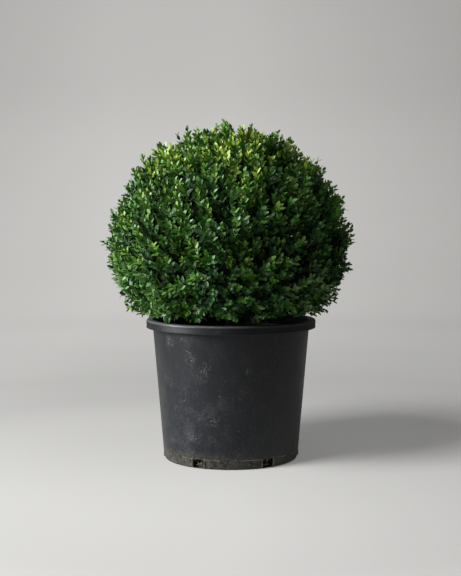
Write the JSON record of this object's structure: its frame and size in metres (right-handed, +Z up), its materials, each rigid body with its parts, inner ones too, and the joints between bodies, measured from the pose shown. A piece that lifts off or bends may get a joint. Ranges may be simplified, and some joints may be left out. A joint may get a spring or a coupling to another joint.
{
  "type": "box topiary ball",
  "caption": "Clipped ball of small-leaved evergreen box on a short, many-boughed stem, growing in a tapered black plastic nursery pot with drain slots round its foot.",
  "frame": {"origin": "middle of the pot's flat underside, on the ground", "axes": "+Z up along the plant, -Y towards the side that the pot's two drain slots lie evenly about, +X to the right from that side"},
  "size_m": [0.4769, 0.4779, 0.6486],
  "materials": {
    "pot_plastic": "moulded black plastic, satin, dusty and scuffed",
    "compost": "moist, crumbly",
    "bark": "thin, finely cracked bark",
    "leaves": "small glossy leaves"
  },
  "bodies": {
    "root": {"pot": "pot_plastic", "compost": "compost", "stem": "bark", "bough_1": "bark", "bough_2": "bark", "bough_3": "bark", "bough_4": "bark", "bough_5": "bark", "bough_6": "bark", "foliage": "leaves"}
  },
  "joints": []
}
